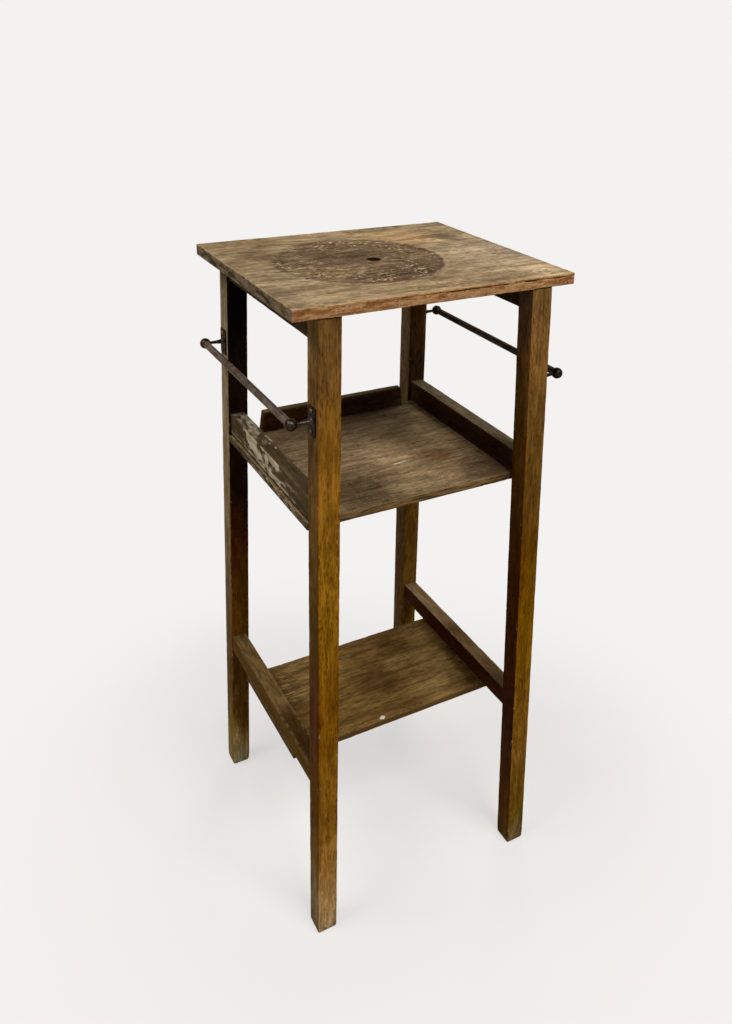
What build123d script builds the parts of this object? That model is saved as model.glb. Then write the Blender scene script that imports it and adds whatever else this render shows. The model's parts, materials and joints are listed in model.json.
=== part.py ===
from build123d import *
from math import atan, cos, sin
import os

# Four-legged oak work stand with a turntable-style top, a tray and a low shelf.
# Millimetres. Origin on the floor under the middle of the stand, +Z up, -Y is the tray's open side.
# "side" is -1 for the left (-X) half and +1 for the right, "end" is -1 for front and +1 for back.

# ---- overall sizes ----
OVERALL_H = 1040.0        # floor to top surface
TOP_THICK = 17.0
TOP_WIDTH = 441.0         # along X, oversails the legs at the sides
TOP_X = 1.0               # the board sits this much to the right
TOP_DEPTH = 381.0         # along Y, almost flush with the legs
PIVOT_DIA = 18.0          # hole through the top
PIVOT_X, PIVOT_Y = -10.0, -6.0

# ---- legs ----
LEG_SIDE = 34.0           # square section under the top
LEG_TAPER = 2.0           # how much smaller the square is at the foot
LEG_OUT_X = 183.8         # outer faces under the top
LEG_OUT_Y = 188.4
SPLAY_X = 16.4            # how far each foot stands out past its leg's top
SPLAY_Y = 27.0
LEG_EASE = 1.5            # worn arrises

# ---- cross bars between each front leg and the back leg behind it ----
RAIL_THICK = 23.5
RAIL_DEPTH = 38.0
STRETCHER_THICK = 25.0
STRETCHER_DEPTH = 33.0
APRON_INSET = 4.0         # each bar's outer face behind the leg's outer face
RAIL_INSET = 4.6
STRETCHER_INSET = 2.0
BAR_EASE = 0.8
TENON_THICK = 10.0
TENON_SHOULDER = 6.0
TENON_LEN = 18.0

# ---- tray and lower shelf, both fixed under their bars ----
TRAY_Z = 717.0            # top face of the tray board, underside of its rails
TRAY_THICK = 12.0
TRAY_OVERHANG = 3.6       # board's side edges past the rails' outer faces
TRAY_FRONT_Y = -157.0
TRAY_BACK_Y = 162.0
LIP_THICK = 14.0
LIP_HEIGHT = 36.0
LIP_HALF_FOOT = 136.0
LIP_HALF_TOP = 131.0
LIP_CORNER = 4.0
SHELF_Z = 273.5           # top face of the lower shelf
SHELF_THICK = 11.5
SHELF_FRONT_Y = -108.0
SHELF_BACK_Y = 102.0
BOARD_EASE = 1.0

# ---- nails under the two boards ----
NAIL_DIA = 2.6
NAIL_PLAY = 0.02
NAIL_LEN = 28.0
NAIL_HEAD_DIA = 6.0
NAIL_HEAD = 1.2
TRAY_NAIL_Y = (-135.0, -45.0, 45.0, 135.0)
SHELF_NAIL_Y = (-80.0, 76.0)

# ---- side bars in ball-ended brackets ----
BALL_Z = 880.0
BALL_STANDOFF = 31.2      # ball centre out from the leg's outer face, along X
BALL_DIA = 17.0
BAR_DIA = 11.0
BAR_PLAY = 0.08           # radial, so the bar turns in its sockets
BAR_END_PLAY = 0.5
SOCKET_PAST = 4.0         # socket depth beyond the ball's centre
BAR_EDGE = 0.5
PLATE_THICK = 2.0
PLATE_W = 22.0
PLATE_H = 41.0
PLATE_CORNER = 2.0
POST_STATIONS = ((0.0, 6.2), (1.5, 4.9), (4.5, 3.7), (9.0, 3.0), (14.0, 2.5), (18.0, 2.4))
POST_IN_BALL = 1.5
SCREW_PITCH = 30.0
SCREW_DIA = 3.5
SCREW_PLAY = 0.02
SCREW_LEN = 16.0          # into the leg
SCREW_HEAD_DIA = 6.4
SCREW_HEAD = 1.8
SCREW_DOME = 1.2
SLOT_W = 0.9
SLOT_DEEP = 0.8

# ---- derived ----
LEG_H = OVERALL_H - TOP_THICK
TILT = atan(SPLAY_X / LEG_H)                 # lean of a leg's outer face
SIDES = {"left": -1, "right": 1}
ENDS = {"front": -1, "back": 1}


def leg_out_x(z):
    return LEG_OUT_X + SPLAY_X * (LEG_H - z) / LEG_H


def leg_out_y(z):
    return LEG_OUT_Y + SPLAY_Y * (LEG_H - z) / LEG_H


def leg_side(z):
    return LEG_SIDE - LEG_TAPER * (LEG_H - z) / LEG_H


def leg_in_y(z):
    return leg_out_y(z) - leg_side(z)


# each cross bar: outer face X, thickness, underside Z, top Z
APRON = (leg_out_x(LEG_H) - APRON_INSET, RAIL_THICK, LEG_H - RAIL_DEPTH, LEG_H)
TRAY_RAIL = (leg_out_x(TRAY_Z) - RAIL_INSET, RAIL_THICK, TRAY_Z, TRAY_Z + RAIL_DEPTH)
STRETCHER = (leg_out_x(SHELF_Z) - STRETCHER_INSET, STRETCHER_THICK, SHELF_Z, SHELF_Z + STRETCHER_DEPTH)
CROSS_BARS = (APRON, TRAY_RAIL, STRETCHER)
TRAY_NAIL_X = TRAY_RAIL[0] - RAIL_THICK / 2
SHELF_NAIL_X = STRETCHER[0] - STRETCHER_THICK / 2
TRAY_HALF_W = TRAY_RAIL[0] + TRAY_OVERHANG
BALL_X = leg_out_x(BALL_Z) + BALL_STANDOFF
BALL_Y = leg_out_y(BALL_Z) - leg_side(BALL_Z) / 2     # on the leg's centre line
FACE_GAP = BALL_STANDOFF * cos(TILT)                 # ball centre to the leg's face


def span(side, x_out, thick, z_low, z_high, reach=0.0):
    """A slab along Y whose ends follow the legs' inner faces, carried on by reach."""
    low, high = leg_in_y(z_low) + reach, leg_in_y(z_high) + reach
    outline = Polygon((-low, z_low), (low, z_low), (high, z_high), (-high, z_high), align=None)
    x_start = x_out - thick if side > 0 else -x_out
    return Pos(x_start, 0, 0) * extrude(Plane.YZ * outline, amount=thick)


def tenons(side, bar):
    x_out, thick, z_low, z_high = bar
    x_out -= (thick - TENON_THICK) / 2
    return span(side, x_out, TENON_THICK, z_low + TENON_SHOULDER, z_high - TENON_SHOULDER, TENON_LEN)


def cross_bar(side, bar):
    body = span(side, *bar)
    body = chamfer(body.edges().filter_by(Axis.Y), BAR_EASE)
    return body + tenons(side, bar)


def along_x(dia, x_from, x_to, z=0.0):
    """A round bar along X in a bracket's own frame."""
    return Pos((x_from + x_to) / 2, 0, z) * Rot(0, 90, 0) * Cylinder(dia / 2, x_to - x_from)


def bracket_frame(side, end):
    """Centred on the ball, X out of the leg's leaning face."""
    out, up = (side * cos(TILT), 0, sin(TILT)), (-side * sin(TILT), 0, cos(TILT))
    return Plane(origin=(side * BALL_X, end * BALL_Y, BALL_Z), x_dir=out, z_dir=up).location


def screw_spots():
    return (-SCREW_PITCH / 2, SCREW_PITCH / 2)


def screw_bores(side, end):
    bores = [along_x(SCREW_DIA + 2 * SCREW_PLAY, -FACE_GAP - SCREW_LEN, 0, z) for z in screw_spots()]
    return bracket_frame(side, end) * Compound(bores)


def leg_square(side, end, z):
    """The four corners of a leg's level section."""
    x, y, w = leg_out_x(z), leg_out_y(z), leg_side(z)
    return [Vector(side * a, end * b, z) for a, b in ((x, y), (x - w, y), (x - w, y - w), (x, y - w))]


def leg(side, end):
    foot, head = leg_square(side, end, 0), leg_square(side, end, LEG_H)
    quads = [foot, head] + [[foot[k - 1], foot[k], head[k], head[k - 1]] for k in range(4)]
    post = Solid(Shell([Face(Wire.make_polygon(q, close=True)) for q in quads]))
    worn = [e for e in post.edges() if e.length > 2 * LEG_SIDE]
    worn += list(post.faces().sort_by(Axis.Z)[0].edges())
    post = chamfer(worn, LEG_EASE)
    for bar in CROSS_BARS:
        post -= tenons(side, bar)
    for bore in screw_bores(side, end):
        post -= bore
    return post


def board(half_w, y_front, y_back, z_top, thick, x_mid=0.0):
    """A flat board with its long upper and lower edges eased."""
    middle = Pos(x_mid, (y_front + y_back) / 2, z_top - thick / 2)
    plank = middle * Box(2 * half_w, y_back - y_front, thick)
    return chamfer(plank.edges().filter_by(Axis.X), BOARD_EASE)


def top_board():
    plank = board(TOP_WIDTH / 2, -TOP_DEPTH / 2, TOP_DEPTH / 2, OVERALL_H, TOP_THICK, TOP_X)
    return plank - Pos(PIVOT_X, PIVOT_Y, OVERALL_H) * Cylinder(PIVOT_DIA / 2, 2 * TOP_THICK + 1)


def nail_spots(x_mid, y_list, z_under):
    return [Pos(side * x_mid, y, z_under) for side in SIDES.values() for y in y_list]


def nailed(plank, spots):
    """Clear the nail shanks through a board or a bar."""
    for spot in spots:
        plank -= spot * Cylinder(NAIL_DIA / 2 + NAIL_PLAY, 2 * NAIL_LEN)
    return plank


def nails(spots):
    up = (Align.CENTER, Align.CENTER, Align.MIN)
    down = (Align.CENTER, Align.CENTER, Align.MAX)
    one = Cylinder(NAIL_DIA / 2, NAIL_LEN - 1, align=up) + Cylinder(NAIL_HEAD_DIA / 2, NAIL_HEAD, align=down)
    return Compound([(spot * one).solid() for spot in spots])


TRAY_NAILS = nail_spots(TRAY_NAIL_X, TRAY_NAIL_Y, TRAY_Z - TRAY_THICK)
SHELF_NAILS = nail_spots(SHELF_NAIL_X, SHELF_NAIL_Y, SHELF_Z - SHELF_THICK)


def tray_lip():
    """Strip standing on the back of the tray board, short of the legs, ends slanted."""
    foot, head, top = LIP_HALF_FOOT, LIP_HALF_TOP, TRAY_Z + LIP_HEIGHT
    outline = Polygon((-foot, TRAY_Z), (foot, TRAY_Z), (head, top), (-head, top), align=None)
    outline = fillet(outline.vertices().sort_by(Axis.Y)[-2:], LIP_CORNER)
    strip = extrude(Plane.XZ * outline, amount=LIP_THICK)      # runs towards -Y
    return Pos(0, TRAY_BACK_Y, 0) * strip


def bracket_plate(side, end):
    plate = Box(PLATE_THICK, PLATE_W, PLATE_H)
    plate = fillet(plate.edges().filter_by(Axis.X), PLATE_CORNER)
    plate = bracket_frame(side, end) * Pos(-FACE_GAP + PLATE_THICK / 2, 0, 0) * plate
    for bore in screw_bores(side, end):
        plate -= bore
    return plate


def bar_blank(side, dia, half_len):
    return Pos(side * BALL_X, 0, BALL_Z) * Rot(90, 0, 0) * Cylinder(dia / 2, 2 * half_len)


def bracket_post(side, end):
    """Bell-footed stem that ends in a ball with a blind socket for the bar."""
    foot_x, neck_x = -FACE_GAP + PLATE_THICK, -BALL_DIA / 2 + POST_IN_BALL
    curve = [(foot_x + dx, r) for dx, r in POST_STATIONS if foot_x + dx < neck_x - POST_IN_BALL]
    curve.append((neck_x, POST_STATIONS[-1][1]))
    bell = Spline(*curve)
    rest = Polyline(curve[-1], (neck_x, 0), (foot_x, 0), curve[0])
    stem = revolve(make_face([bell, rest]), axis=Axis.X)
    post = bracket_frame(side, end) * (stem + Sphere(BALL_DIA / 2))
    return post - bar_blank(side, BAR_DIA + 2 * BAR_PLAY, BALL_Y + SOCKET_PAST)


def side_bar(side):
    bar = bar_blank(side, BAR_DIA, BALL_Y + SOCKET_PAST - BAR_END_PLAY)
    return chamfer(bar.edges().filter_by(GeomType.CIRCLE), BAR_EDGE)


def bracket_screws(side, end):
    seat = -FACE_GAP + PLATE_THICK
    head = along_x(SCREW_HEAD_DIA, seat, seat + SCREW_HEAD)
    head = fillet(head.edges().filter_by(GeomType.CIRCLE).sort_by(Axis.X)[-1], SCREW_DOME)
    head -= Pos(seat + SCREW_HEAD, 0, 0) * Box(2 * SLOT_DEEP, SCREW_HEAD_DIA + 1, SLOT_W)
    one = head + along_x(SCREW_DIA, -FACE_GAP - SCREW_LEN + 1, seat)
    return bracket_frame(side, end) * Compound([(Pos(0, 0, z) * one).solid() for z in screw_spots()])


def build():
    nodes = {
        "top_board": top_board(),
        "tray_board": nailed(board(TRAY_HALF_W, TRAY_FRONT_Y, TRAY_BACK_Y, TRAY_Z, TRAY_THICK), TRAY_NAILS),
        "tray_lip": tray_lip(),
        "lower_shelf": nailed(board(STRETCHER[0], SHELF_FRONT_Y, SHELF_BACK_Y, SHELF_Z, SHELF_THICK),
                              SHELF_NAILS),
        "tray_nails": nails(TRAY_NAILS),
        "shelf_nails": nails(SHELF_NAILS),
    }
    for side_name, side in SIDES.items():
        nodes[f"apron_{side_name}"] = cross_bar(side, APRON)
        nodes[f"tray_rail_{side_name}"] = nailed(cross_bar(side, TRAY_RAIL), TRAY_NAILS)
        nodes[f"stretcher_{side_name}"] = nailed(cross_bar(side, STRETCHER), SHELF_NAILS)
        nodes[f"side_bar_{side_name}"] = side_bar(side)
        for end_name, end in ENDS.items():
            corner = f"{end_name}_{side_name}"
            nodes[f"leg_{corner}"] = leg(side, end)
            nodes[f"bracket_plate_{corner}"] = bracket_plate(side, end)
            nodes[f"bracket_post_{corner}"] = bracket_post(side, end)
            nodes[f"bracket_screws_{corner}"] = bracket_screws(side, end)
    return nodes


os.makedirs("parts", exist_ok=True)
for name, shape in build().items():
    export_step(shape, f"parts/{name}.step")
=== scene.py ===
import json
import math

import bmesh
import bpy
from mathutils import Matrix, Vector, noise


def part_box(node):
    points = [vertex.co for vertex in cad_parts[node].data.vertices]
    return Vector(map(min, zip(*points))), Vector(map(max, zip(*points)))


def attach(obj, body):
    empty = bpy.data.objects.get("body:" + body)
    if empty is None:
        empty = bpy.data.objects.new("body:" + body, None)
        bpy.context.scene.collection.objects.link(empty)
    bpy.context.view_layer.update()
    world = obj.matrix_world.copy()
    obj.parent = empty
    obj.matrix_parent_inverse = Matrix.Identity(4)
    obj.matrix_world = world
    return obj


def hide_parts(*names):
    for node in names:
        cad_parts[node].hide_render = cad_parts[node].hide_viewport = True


# The looks of an oak work stand: worn timbers, old iron, and a plain studio stage. Metres, in the CAD frame.

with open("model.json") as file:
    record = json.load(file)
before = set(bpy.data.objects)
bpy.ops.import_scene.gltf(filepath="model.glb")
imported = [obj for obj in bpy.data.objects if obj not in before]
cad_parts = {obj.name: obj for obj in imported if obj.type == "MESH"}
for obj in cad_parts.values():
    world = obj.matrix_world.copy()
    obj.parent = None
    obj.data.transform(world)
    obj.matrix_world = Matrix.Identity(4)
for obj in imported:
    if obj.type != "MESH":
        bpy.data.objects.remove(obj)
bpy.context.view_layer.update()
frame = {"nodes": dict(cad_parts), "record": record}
MM = 0.001


# ---------------------------------------------------------------- colours and node helpers

def srgb(r, g, b):
    """Screen colour 0..255 to a linear RGBA value."""
    def one(c):
        c /= 255
        return c / 12.92 if c <= 0.04045 else ((c + 0.055) / 1.055) ** 2.4
    return (one(r), one(g), one(b), 1.0)


class Tree:
    """Short calls for building one material's nodes."""

    def __init__(self, name):
        self.mat = bpy.data.materials.new(name)
        self.mat.use_nodes = True
        self.nt = self.mat.node_tree
        self.nt.nodes.clear()
        self.out = self.nt.nodes.new("ShaderNodeOutputMaterial")
        self.bsdf = self.nt.nodes.new("ShaderNodeBsdfPrincipled")
        self.nt.links.new(self.bsdf.outputs[0], self.out.inputs[0])
        coords = self.nt.nodes.new("ShaderNodeTexCoord")
        self.pos, self.normal = coords.outputs["Object"], coords.outputs["Normal"]

    def put(self, socket, value):
        """Link a socket to a node's output, or set it to a plain value."""
        if value is None:
            return
        if isinstance(value, bpy.types.NodeSocket):
            self.nt.links.new(value, socket)
        else:
            socket.default_value = value

    def math(self, op, a, b=None, clamp=False):
        n = self.nt.nodes.new("ShaderNodeMath")
        n.operation, n.use_clamp = op, clamp
        self.put(n.inputs[0], a)
        self.put(n.inputs[1], b)
        return n.outputs[0]

    def mul(self, *values):
        total = values[0]
        for v in values[1:]:
            total = self.math("MULTIPLY", total, v)
        return total

    def add(self, a, b):
        return self.math("ADD", a, b)

    def less(self, a, b):
        """a - b, held between 0 and 1."""
        return self.math("SUBTRACT", a, b, clamp=True)

    def vec(self, op, a, b=None):
        n = self.nt.nodes.new("ShaderNodeVectorMath")
        n.operation = op
        self.put(n.inputs[0], a)
        self.put(n.inputs[1], b)
        return n.outputs["Value"] if op in ("LENGTH", "DISTANCE", "DOT_PRODUCT") else n.outputs[0]

    def axis(self, v, name):
        n = self.nt.nodes.new("ShaderNodeSeparateXYZ")
        self.put(n.inputs[0], v)
        return n.outputs[name]

    def noise(self, v, scale, detail=3.0, rough=0.55, colour=False):
        n = self.nt.nodes.new("ShaderNodeTexNoise")
        self.put(n.inputs["Vector"], v)
        self.put(n.inputs["Scale"], scale)
        self.put(n.inputs["Detail"], detail)
        self.put(n.inputs["Roughness"], rough)
        return n.outputs[1 if colour else 0]

    def span(self, value, low, high, out_low=0.0, out_high=1.0):
        """Smooth step of value from low..high to out_low..out_high."""
        n = self.nt.nodes.new("ShaderNodeMapRange")
        n.interpolation_type = "SMOOTHSTEP"
        for i, v in enumerate((value, low, high, out_low, out_high)):
            self.put(n.inputs[i], v)
        return n.outputs[0]

    def mix(self, fac, a, b, mode="MIX"):
        n = self.nt.nodes.new("ShaderNodeMix")
        n.data_type, n.blend_type, n.clamp_factor = "RGBA", mode, True
        self.put(n.inputs[0], fac)
        self.put(n.inputs[6], a)
        self.put(n.inputs[7], b)
        return n.outputs[2]

    def times(self, colour, tone):
        return self.mix(1.0, colour, tone, "MULTIPLY")

    def lay(self, colour, tone, *masks):
        """Lay a tone over a colour, as strongly as the masks multiplied together."""
        return self.mix(self.mul(*masks), colour, tone)

    def ramp(self, value, stops):
        """Colours at given values, blended between."""
        low, high = stops[0][0], stops[-1][0]
        n = self.nt.nodes.new("ShaderNodeValToRGB")
        self.put(n.inputs[0], self.math("DIVIDE", self.math("SUBTRACT", value, low), high - low))
        band = n.color_ramp
        band.elements[0].position, band.elements[0].color = 0.0, stops[0][1]
        band.elements[1].position, band.elements[1].color = 1.0, stops[-1][1]
        for at, colour in stops[1:-1]:
            band.elements.new((at - low) / (high - low)).color = colour
        return n.outputs[0]

    def attribute(self, name):
        n = self.nt.nodes.new("ShaderNodeAttribute")
        n.attribute_name = name
        return n.outputs["Fac"]

    def bump(self, height, strength, distance):
        n = self.nt.nodes.new("ShaderNodeBump")
        self.put(n.inputs["Height"], height)
        n.inputs["Strength"].default_value = strength
        n.inputs["Distance"].default_value = distance
        return n.outputs[0]

    def stretched(self, grain, seed=0.0, along=0.05):
        """The position, squeezed along the grain so that noise draws out into fibres."""
        scale = [1.0, 1.0, 1.0]
        scale["XYZ".index(grain)] = along
        moved = self.vec("ADD", self.pos, (seed, seed * 1.7, seed * 0.6))
        return self.vec("MULTIPLY", moved, tuple(scale))

    def dashes(self, grain, across, along, share, seed, size=0.45):
        """Short marks drawn out along the grain, in millimetres; only a share of the cells hold one."""
        scale = [1 / (across * MM)] * 3
        scale["XYZ".index(grain)] = 1 / (along * MM)
        n = self.nt.nodes.new("ShaderNodeTexVoronoi")
        moved = self.vec("ADD", self.pos, (seed, seed * 1.3, seed * 0.7))
        self.put(n.inputs["Vector"], self.vec("MULTIPLY", moved, tuple(scale)))
        n.inputs["Scale"].default_value = 1.0
        chosen = self.span(self.axis(n.outputs["Color"], "X"), share + 0.04, share - 0.04)
        return self.mul(self.span(n.outputs["Distance"], size, size - 0.2), chosen)

    def warped(self, scale, amount, seed=0.0):
        """The position shaken by noise, so that a patch drawn on it gets a ragged outline."""
        shake = self.noise(self.vec("ADD", self.pos, (seed, seed, seed)), scale, 4.0, 0.6, colour=True)
        shake = self.vec("SUBTRACT", shake, (0.5, 0.5, 0.5))
        return self.vec("ADD", self.pos, self.vec("MULTIPLY", shake, (amount, amount, amount)))

    def patch(self, at, centre, size, turn=0.0, plane="XY", soft=0.6):
        """1 inside a soft ellipse on one plane, 0 outside. Sizes in millimetres."""
        shift, u, v = [0.0] * 3, [0.0] * 3, [0.0] * 3
        a, b = "XYZ".index(plane[0]), "XYZ".index(plane[1])
        shift[a], shift[b] = -centre[0] * MM, -centre[1] * MM
        c, s = math.cos(turn), math.sin(turn)
        u[a], u[b] = c / (size[0] * MM), s / (size[0] * MM)
        v[a], v[b] = -s / (size[1] * MM), c / (size[1] * MM)
        moved = self.vec("ADD", at, tuple(shift))
        du, dv = self.vec("DOT_PRODUCT", moved, tuple(u)), self.vec("DOT_PRODUCT", moved, tuple(v))
        r = self.math("SQRT", self.add(self.mul(du, du), self.mul(dv, dv)))
        return self.span(r, 1.0 + soft / 2, 1.0 - soft / 2)

    def facing(self, axis, sign):
        """1 where the surface looks along the axis, 0 where it looks elsewhere."""
        return self.span(self.mul(self.axis(self.normal, axis), float(sign)), 0.45, 0.8)

    def both_ends(self, axis):
        """1 where the surface looks either way along the axis."""
        return self.math("MAXIMUM", self.facing(axis, -1), self.facing(axis, 1))


# ---------------------------------------------------------------- worn timber, as meshes

def link(name, data):
    obj = bpy.data.objects.new(name, data)
    bpy.context.scene.collection.objects.link(obj)
    return obj


def link_bmesh(name, mesh):
    """Turn a bmesh into an object of the scene."""
    data = bpy.data.meshes.new(name)
    mesh.to_mesh(data)
    mesh.free()
    return link(name, data)


def fbm(p, scale, seed, octaves=3):
    """Layered noise at a point, about -1 to 1."""
    total, gain = 0.0, 1.0
    q = p * scale + Vector((seed * 7.31, seed * 3.17, seed * 5.53))
    for _ in range(octaves):
        total += noise.noise(q) * gain
        q, gain = q * 2.03, gain * 0.5
    return total


def across(length, radius, step):
    """Distances across a face: three inside each rounded corner, then even steps."""
    inner = max(1, round((length - 2 * radius) / step))
    middle = [radius + (length - 2 * radius) * k / inner for k in range(1, inner)]
    corner = [0.0, radius / 3, radius * 2 / 3, radius]
    return corner + middle + [length - c for c in reversed(corner)]


def outline(nx, ny):
    """Indices round the rim of a grid of nx by ny points."""
    return ([(i, 0) for i in range(nx - 1)] + [(nx - 1, j) for j in range(ny - 1)]
            + [(i, ny - 1) for i in range(nx - 1, 0, -1)] + [(0, j) for j in range(ny - 1, 0, -1)])


def stations(length, end_radius, step):
    """Distances along a timber, each with how far its section is drawn in: rounded ends, even between."""
    angles = (math.pi / 2, math.pi / 3, math.pi / 6)
    first, last = [[(r * (1 - math.sin(a)), r * (1 - math.cos(a))) for a in angles] for r in end_radius]
    between = length - sum(end_radius)
    count = max(2, round(between / step))
    even = [(end_radius[0] + between * k / count, 0.0) for k in range(count + 1)]
    return first + even + [(length - a, inset) for a, inset in reversed(last)]


LEAST_WEAR, MOST_WEAR = 0.45, 3.0           # an arris's rounding, in shares of its radius
START_WEAR, START_REACH = 0.65, 4.5         # it grows towards the start quad, where a leg has its foot, in end radii
EDGE_TONE, END_TONE = 3.2 * MM, 4 * MM      # how far the tone of rubbed edges reaches in


def worn_block(name, start, end, step, radius, end_radius, wave, chip, seed, carve=None):
    """A timber from quad start to quad end, arrises rounded unevenly by wear and chipped.

    step: mesh size across, deep and along. end_radius: rounding at the two ends. wave: how far the faces
    undulate. chip: how much the arrises are chipped. carve: depth of further cuts at a point.
    """
    start, end = [Vector(p) for p in start], [Vector(p) for p in end]
    length = sum((e - s).length for s, e in zip(start, end)) / 4
    wide, deep = (start[1] - start[0]).length, (start[3] - start[0]).length
    xs, ys = across(wide, radius, step[0]), across(deep, radius, step[1])
    nx, ny = len(xs), len(ys)
    rim = outline(nx, ny)

    def place(x, y, along, inset):
        """The point at these distances across, deep and along, drawn in by inset."""
        x = inset + x * (wide - 2 * inset) / wide
        y = inset + y * (deep - 2 * inset) / deep
        s, t, w = x / wide, y / deep, along / length
        a, b, c, d = (p.lerp(q, w) for p, q in zip(start, end))
        return a.lerp(b, s).lerp(d.lerp(c, s), t)

    def worn(i, j, along, inset):
        """A boundary point after rounding, wear and chips, and how near it is to an arris."""
        x, y = xs[i], ys[j]
        rough = place(x, y, along, 0.0)
        dx, dy = min(x, wide - x), min(y, deep - y)
        near = max(dx, dy)
        in_x, in_y = (1 if x < wide / 2 else -1), (1 if y < deep / 2 else -1)
        if near < radius * 1.001:
            grow = 1.0 + 0.7 * fbm(rough, 35.0, seed + 11)                       # long stretches of wear
            grow += 2.2 * max(0.0, fbm(rough, 90.0, seed + 23) - 0.42) * chip     # chips here and there
            near_start = 1 - along / (START_REACH * end_radius[0])
            r = max(radius * max(LEAST_WEAR, min(grow, MOST_WEAR)), START_WEAR * end_radius[0] * near_start)
            turn = math.radians(45) * (1 - near / radius)
            arc_x, arc_y = (math.sin(turn), math.cos(turn)) if dy <= dx else (math.cos(turn), math.sin(turn))
            centre_x = x - in_x * dx + in_x * r
            centre_y = y - in_y * dy + in_y * r
            x, y = centre_x - in_x * r * arc_x, centre_y - in_y * r * arc_y
            sink_x, sink_y = in_x * arc_x, in_y * arc_y
        else:
            sink_x, sink_y = (0, in_y) if dy < dx else (in_x, 0)
        sink = max(0.0, wave * (0.4 + 0.5 * fbm(rough, 14.0, seed)) + wave * 0.4 * abs(fbm(rough, 120.0, seed + 5)))
        if carve:
            sink += carve(rough)
        from_end = min(along, length - along)
        edge = max(0.0, 1 - near / EDGE_TONE, 1 - from_end / END_TONE)
        return place(x + sink_x * sink, y + sink_y * sink, along, inset), edge

    mesh = bmesh.new()
    layer = mesh.verts.layers.float.new("edge")
    rings = []
    for along, inset in stations(length, end_radius, step[2]):
        ring = []
        for i, j in rim:
            p, edge = worn(i, j, along, inset)
            v = mesh.verts.new(p)
            v[layer] = edge
            ring.append(v)
        rings.append(ring)
    total = len(rim)
    for low, high in zip(rings, rings[1:]):
        for k in range(total):
            mesh.faces.new((low[k], low[(k + 1) % total], high[(k + 1) % total], high[k]))
    for ring, along, inset, flip in ((rings[0], 0.0, end_radius[0], True), (rings[-1], length, end_radius[1], False)):
        grid = dict(zip(rim, ring))
        for i in range(1, nx - 1):
            for j in range(1, ny - 1):
                v = mesh.verts.new(place(xs[i], ys[j], along, inset))
                v[layer] = max(0.0, 1 - min(xs[i], wide - xs[i], ys[j], deep - ys[j]) / END_TONE)
                grid[i, j] = v
        for i in range(nx - 1):
            for j in range(ny - 1):
                quad = [grid[i, j], grid[i + 1, j], grid[i + 1, j + 1], grid[i, j + 1]]
                mesh.faces.new(reversed(quad) if flip else quad)
    bmesh.ops.recalc_face_normals(mesh, faces=mesh.faces)
    obj = link_bmesh(name, mesh)
    obj.data.polygons.foreach_set("use_smooth", [True] * len(obj.data.polygons))
    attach(obj, "stand")
    return obj


def leg_squares(name):
    """The leg's square at the floor and under the top, each as ((x low, x high), (y low, y high), z)."""
    lo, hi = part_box(name)
    near_end = 2 * MM          # takes in the foot's eased edges
    points = [v.co for v in frame["nodes"][name].data.vertices]
    squares = []
    for z in (lo.z, hi.z):
        ring = [p for p in points if abs(p.z - z) < near_end]
        squares.append(((min(p.x for p in ring), max(p.x for p in ring)),
                        (min(p.y for p in ring), max(p.y for p in ring)), z))
    return squares


def square(fx, fy, z):
    """Corners of a level square from its X limits, Y limits and height."""
    return [(fx[0], fy[0], z), (fx[1], fy[0], z), (fx[1], fy[1], z), (fx[0], fy[1], z)]


LEGS = sorted(n for n in frame["nodes"] if n.startswith("leg_"))
CROSS_BARS = sorted(n for n in frame["nodes"] if n.startswith(("apron_", "tray_rail_", "stretcher_")))
FOOT, HEAD = leg_squares("leg_back_right")
ROUND_FEET = {"leg_back_left": 6.5 * MM, "leg_front_right": 5.0 * MM}      # feet worn rounder than the rest
FOOT_RADIUS, HEAD_RADIUS, SHOULDER_RADIUS = 4.0 * MM, 1 * MM, 0.6 * MM
COARSE = (4 * MM,) * 3      # mesh size of legs and cross bars
ARRIS = 1.1 * MM
LET_IN = 2 * MM             # how far a cross bar's end runs on into the leg, hidden


def leg_face_y(z):
    """Inner face of the back legs at height z; the front legs mirror it."""
    w = (z - FOOT[2]) / (HEAD[2] - FOOT[2])
    return FOOT[1][0] + (HEAD[1][0] - FOOT[1][0]) * w


pieces = {}


def show(node, obj):
    """Let a worn timber stand in for its CAD node."""
    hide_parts(node)
    pieces[node] = obj


for k, node in enumerate(LEGS):
    foot, head = leg_squares(node)
    show(node, worn_block("oak_" + node, square(*foot), square(*head), COARSE, ARRIS,
                          (ROUND_FEET.get(node, FOOT_RADIUS), HEAD_RADIUS), wave=0.14 * MM, chip=1.0, seed=3 + k))

for k, node in enumerate(CROSS_BARS):
    lo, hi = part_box(node)
    y_low, y_high = leg_face_y(lo.z) + LET_IN, leg_face_y(hi.z) + LET_IN
    near = [(lo.x, -y_low, lo.z), (hi.x, -y_low, lo.z), (hi.x, -y_high, hi.z), (lo.x, -y_high, hi.z)]
    far = [(lo.x, y_low, lo.z), (hi.x, y_low, lo.z), (hi.x, y_high, hi.z), (lo.x, y_high, hi.z)]
    show(node, worn_block("oak_" + node, near, far, COARSE, ARRIS, (SHOULDER_RADIUS,) * 2,
                          wave=0.16 * MM, chip=1.2, seed=21 + k))


def board(node, step, radius, wave, chip, seed, slant=0.0, carve=None):
    """A board with its grain along X; slant draws its ends in towards the top."""
    lo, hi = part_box(node)
    left = [(lo.x, lo.y, lo.z), (lo.x, hi.y, lo.z), (lo.x + slant, hi.y, hi.z), (lo.x + slant, lo.y, hi.z)]
    right = [(hi.x, lo.y, lo.z), (hi.x, hi.y, lo.z), (hi.x - slant, hi.y, hi.z), (hi.x - slant, lo.y, hi.z)]
    show(node, worn_block("oak_" + node, left, right, step, radius, (radius, radius), wave, chip, seed, carve))


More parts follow.
